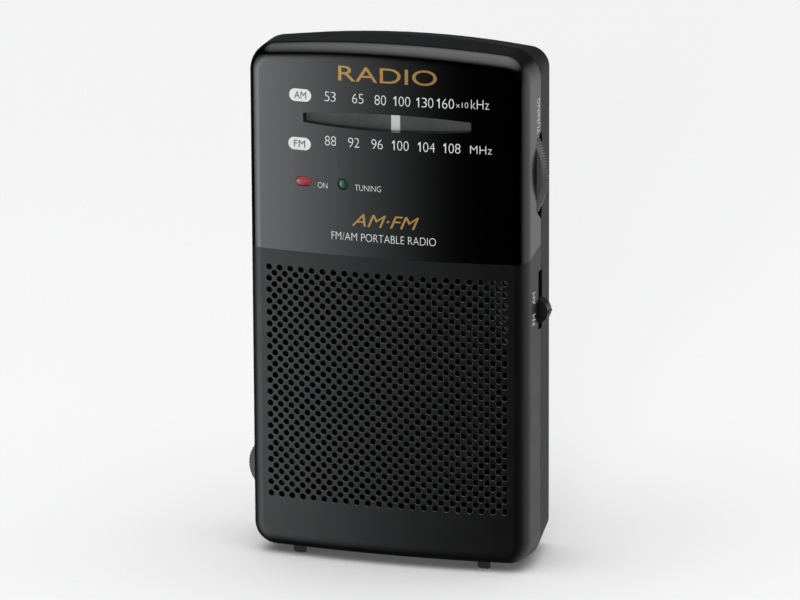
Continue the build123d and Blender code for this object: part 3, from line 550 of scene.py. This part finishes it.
def direction(azimuth, elevation):
    """A unit vector towards a place in the sky: azimuth 0 is in front of the radio and 90 to its right."""
    a = radians(azimuth)
    e = radians(elevation)
    return Vector((sin(a) * cos(e), -cos(a) * cos(e), sin(e)))


def soft_source(tree, towards, start, full, power, strength, tint):
    """A broad soft light in the world's shader.

    It begins where the cosine of the angle from its middle is start, and is at its full strength from full.
    """
    place = tree.nodes.new("ShaderNodeTexCoord").outputs["Generated"]
    dot = tree.nodes.new("ShaderNodeVectorMath")
    dot.operation = "DOT_PRODUCT"
    dot.inputs[1].default_value = towards
    tree.links.new(place, dot.inputs[0])
    fade = tree.nodes.new("ShaderNodeMapRange")
    fade.inputs["From Min"].default_value = start
    fade.inputs["From Max"].default_value = full
    tree.links.new(dot.outputs["Value"], fade.inputs["Value"])
    curve = tree.nodes.new("ShaderNodeMath")
    curve.operation = "POWER"
    curve.inputs[1].default_value = power
    tree.links.new(fade.outputs["Result"], curve.inputs[0])
    scale = tree.nodes.new("ShaderNodeVectorMath")
    scale.operation = "SCALE"
    scale.inputs[0].default_value = [strength * channel for channel in tint]
    tree.links.new(curve.outputs["Value"], scale.inputs["Scale"])
    return scale.outputs["Vector"]


def combined(tree, operation, first, second):
    """The sum or the product of two lights of the world's shader."""
    node = tree.nodes.new("ShaderNodeVectorMath")
    node.operation = operation
    tree.links.new(first, node.inputs[0])
    tree.links.new(second, node.inputs[1])
    return node.outputs["Vector"]


COOL = (0.95, 1.0, 1.02)
WHITE = (1.0, 1.0, 1.0)
# Each light: towards its middle, start, full, power, strength and tint. The left one is cut off by two edges,
# one towards the back and one above the horizon.
LEFT_SOURCE = (direction(-78, 0), 0.3, 0.84, 1.9, 5.0, COOL)
LEFT_EDGES = [
    (direction(0, 0), -0.05, 0.62, 1.0, 1.0, WHITE),
    (direction(0, -90), -0.36, 0.12, 1.0, 1.0, WHITE),
]
OTHER_SOURCES = [
    (direction(115, -22), 0.5, 0.88, 1.0, 1.25, WHITE),
    (direction(0, 85), 0.58, 0.95, 1.0, 2.9, WHITE),
    (direction(180, 0), 0.2, 0.9, 1.0, 0.07, COOL),
]

world = bpy.data.worlds.new("studio")
world.use_nodes = True
bpy.context.scene.world = world
world_tree = world.node_tree
total = soft_source(world_tree, *LEFT_SOURCE)
for edge in LEFT_EDGES:
    total = combined(world_tree, "MULTIPLY", total, soft_source(world_tree, *edge))
for source in OTHER_SOURCES:
    total = combined(world_tree, "ADD", total, soft_source(world_tree, *source))
seen = world_tree.nodes.new("ShaderNodeMix")
seen.data_type = "RGBA"
seen.inputs["B"].default_value = (0.9, 0.9, 0.9, 1)
light_path = world_tree.nodes.new("ShaderNodeLightPath")
world_tree.links.new(light_path.outputs["Is Camera Ray"], seen.inputs["Factor"])
world_tree.links.new(total, seen.inputs["A"])
world_tree.links.new(seen.outputs["Result"], world_tree.nodes["Background"].inputs["Color"])


FILL_TOWARDS = direction(12, 8)
FILL_DISTANCE = 2.0  # metres
FILL_SIZE = 0.5
FILL_POWER = 25
fill_data = bpy.data.lights.new("front_fill", "AREA")
fill_data.size = FILL_SIZE
fill_data.energy = FILL_POWER
front_fill = bpy.data.objects.new("front_fill", fill_data)
front_fill.location = Vector((0, 0, 60 * MM)) + FILL_TOWARDS * FILL_DISTANCE
front_fill.rotation_mode = "QUATERNION"
front_fill.rotation_quaternion = FILL_TOWARDS.to_track_quat("Z", "Y")
front_fill.visible_glossy = False
bpy.context.scene.collection.objects.link(front_fill)

# ---- Camera ----
back = direction(CAMERA_AZIMUTH, CAMERA_ELEVATION)
across = Vector((0, 0, 1)).cross(back).normalized()
up = back.cross(across)
roll = radians(CAMERA_ROLL)
turned_across = across * cos(roll) + up * sin(roll)
turned_up = up * cos(roll) - across * sin(roll)
camera_data = bpy.data.cameras.new("camera")
camera_data.lens = CAMERA_LENS
camera_data.sensor_width = CAMERA_SENSOR
camera_data.clip_start = 0.05
camera_data.clip_end = 100
camera = bpy.data.objects.new("camera", camera_data)
bpy.context.scene.collection.objects.link(camera)
camera.matrix_world = Matrix.LocRotScale(
    (Vector(CAMERA_AIM) + back * CAMERA_DISTANCE) * MM,
    Matrix((turned_across, turned_up, back)).transposed(),
    None,
)
bpy.context.scene.camera = camera
bpy.context.scene.view_settings.view_transform = "Standard"
